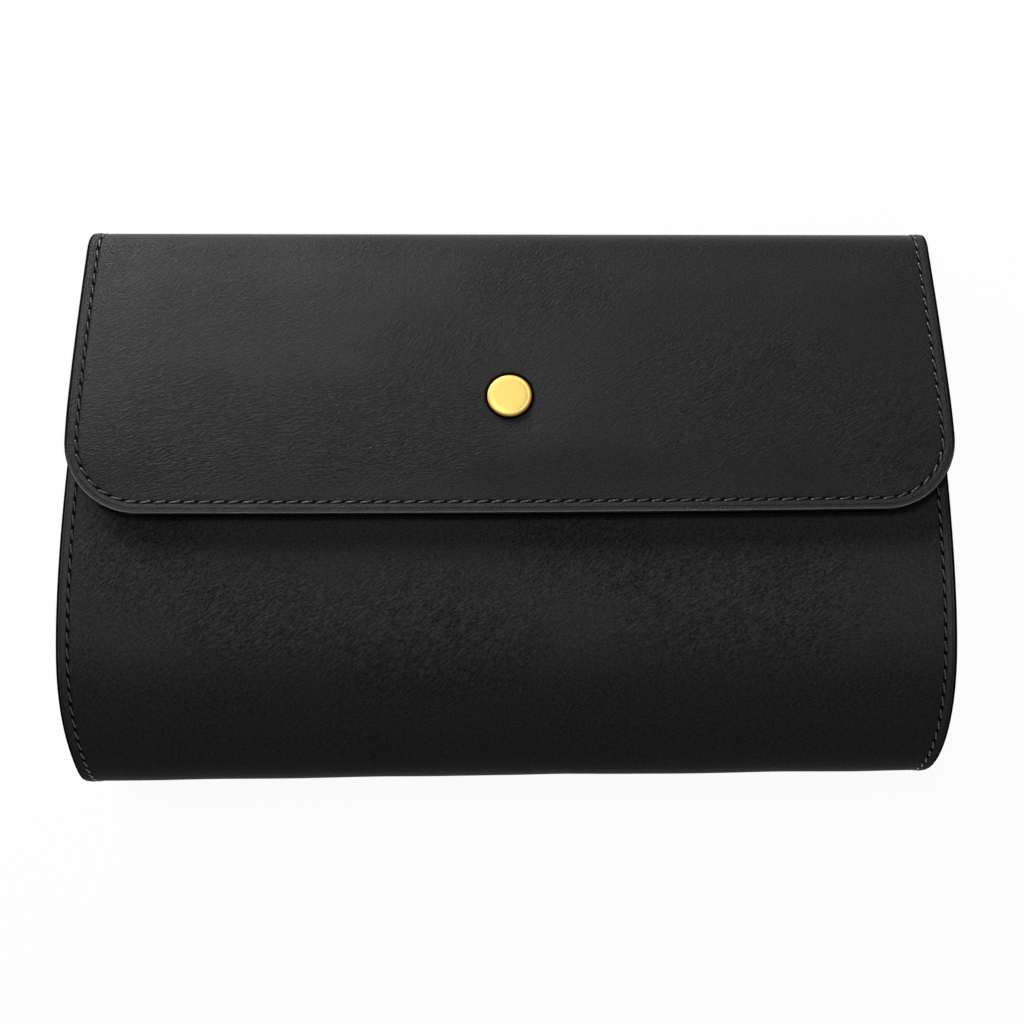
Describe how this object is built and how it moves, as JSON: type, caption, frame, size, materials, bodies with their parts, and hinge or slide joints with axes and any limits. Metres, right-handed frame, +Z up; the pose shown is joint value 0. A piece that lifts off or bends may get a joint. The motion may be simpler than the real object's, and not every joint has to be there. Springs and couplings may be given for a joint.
{
  "type": "tech organizer case",
  "caption": "Soft leather case with a wrap-over flap closed by a snap, folding side gussets and inside pockets and loops for cables.",
  "frame": {"origin": "under the middle of the case, on the surface that it lies on", "axes": "+Z up out of the front, +Y towards the fold at the top edge, X across the width"},
  "size_m": [0.2409, 0.158, 0.045],
  "materials": {
    "outer_leather": "smooth matte black leather",
    "flap_lining_leather": "thin matte black leather",
    "lining_fabric": "plain matte black weave",
    "elastic": "black ribbed elastic",
    "snap_cap_metal": "pale yellow gilt, satin",
    "snap_metal": "polished brass"
  },
  "bodies": {
    "case": {"outer_shell": "outer_leather", "body_lining": "lining_fabric", "front_facing": "outer_leather", "gusset_left": "outer_leather", "gusset_right": "outer_leather", "top_fold": "outer_leather", "fold_lining": "flap_lining_leather", "slip_pocket_left": "lining_fabric", "slip_pocket_right": "lining_fabric", "cable_loop_1": "elastic", "cable_loop_2": "elastic", "cable_loop_3": "elastic", "cable_loop_4": "elastic", "pen_loop": "elastic", "snap_stud": "snap_metal", "snap_eyelet": "snap_metal", "snap_washer": "outer_leather"},
    "flap": {"flap_leather": "outer_leather", "flap_lining": "flap_lining_leather", "snap_cap": "snap_cap_metal", "snap_socket": "snap_metal"}
  },
  "joints": [
    {"name": "flap_hinge", "type": "hinge", "parent": "case", "child": "flap", "pos_m": [0, 0.0775, 0.009], "axis": [-1, 0, 0], "range_deg": [0, 155], "deforming": ["top_fold", "fold_lining"]}
  ]
}
